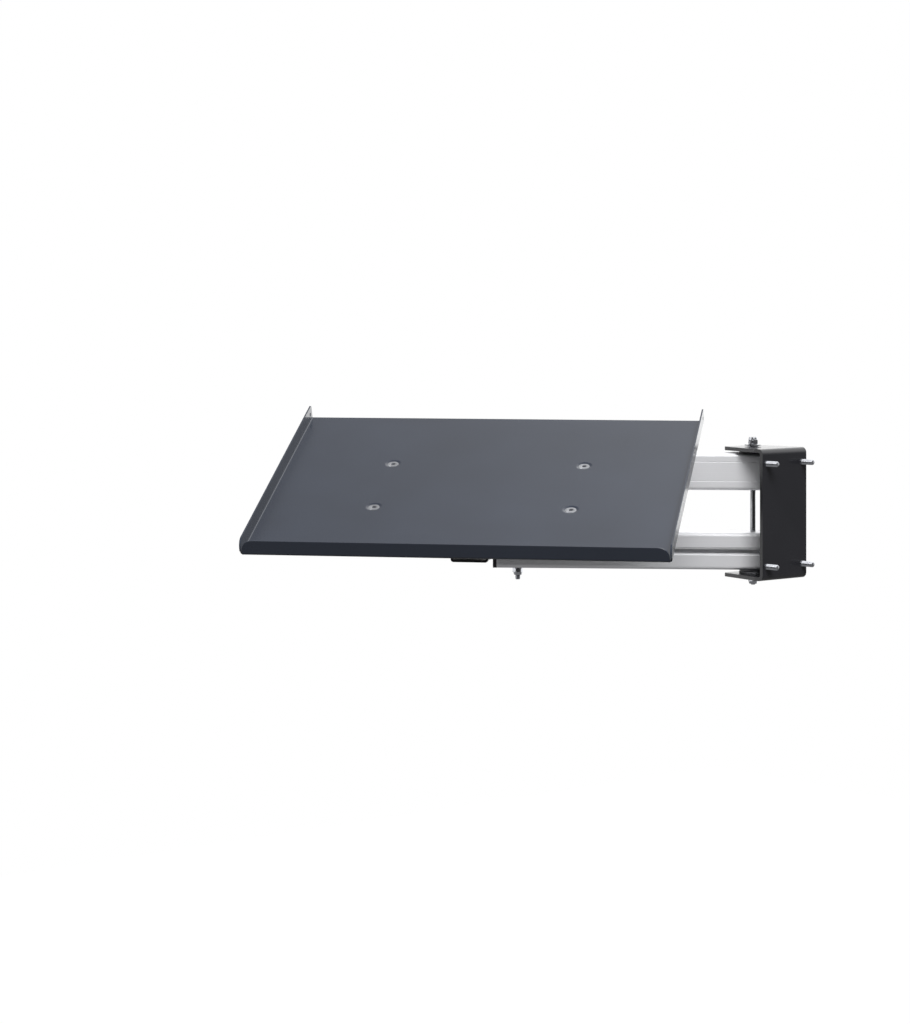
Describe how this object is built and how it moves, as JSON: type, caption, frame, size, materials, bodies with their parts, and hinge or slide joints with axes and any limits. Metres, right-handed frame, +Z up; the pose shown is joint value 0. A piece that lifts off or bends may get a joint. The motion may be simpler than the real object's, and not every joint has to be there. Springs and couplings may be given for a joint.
{
  "type": "keyboard tray",
  "caption": "Folded sheet keyboard tray that tilts and swivels on a twin-beam arm, which swings on a folded bracket bolted to an upright or wall.",
  "frame": {"origin": "middle of the bracket's mounting face", "axes": "+X out of the mounting face into the upright, +Y sideways, +Z up along the upright"},
  "size_m": [0.5185, 0.6449, 0.195],
  "materials": {
    "tray_coat": "semi-gloss dark grey powder coat with a soft sheen",
    "bracket_coat": "semi-gloss black powder coat",
    "anodised": "satin clear anodised extrusion",
    "zinc": "bright zinc plate",
    "black_plastic": "matte moulded plastic",
    "grey_plastic": "smooth moulded bearing plastic"
  },
  "bodies": {
    "bracket": {"wall_bracket": "bracket_coat", "mounting_bolts": "zinc", "pivot_rod": "zinc", "pivot_top_nut": "zinc", "pivot_wide_washer": "zinc", "pivot_spring_washer": "zinc", "pivot_bottom_nut": "zinc"},
    "arm": {"upper_thrust_disc": "grey_plastic", "lower_thrust_disc": "grey_plastic", "upper_beam": "anodised", "lower_beam": "anodised", "upper_inner_cap": "black_plastic", "upper_outer_cap": "black_plastic", "lower_inner_cap": "black_plastic", "lower_outer_cap": "black_plastic", "outer_rod": "zinc", "outer_rod_nuts": "zinc", "outer_rod_washers": "zinc"},
    "swivel": {"swivel_block": "black_plastic", "upper_swivel_bush": "grey_plastic", "lower_swivel_bush": "grey_plastic", "carrier_channel": "bracket_coat", "block_screws": "zinc", "tilt_bolt": "zinc", "tilt_nut": "zinc", "clamp_bolt": "zinc", "clamp_nut": "zinc", "clamp_washers": "zinc"},
    "tray": {"tray": "tray_coat", "mount_plate": "tray_coat", "tilt_bracket": "bracket_coat", "bracket_rivets": "zinc", "hinge_spacer": "zinc", "tray_screws": "zinc", "tray_nuts": "zinc"}
  },
  "joints": [
    {"name": "arm_swing", "type": "hinge", "parent": "bracket", "child": "arm", "pos_m": [-0.047, 0, 0], "axis": [0, 0, 1], "range_deg": [-135, 45]},
    {"name": "tray_swivel", "type": "hinge", "parent": "arm", "child": "swivel", "pos_m": [-0.22802, -0.18102, 0], "axis": [0, 0, 1], "range_deg": [-84, 6]},
    {"name": "tray_tilt", "type": "hinge", "parent": "swivel", "child": "tray", "pos_m": [-0.08208, -0.3606, 0.0099], "axis": [0.776, 0.6307, 0], "range_deg": [-22, 10]}
  ]
}
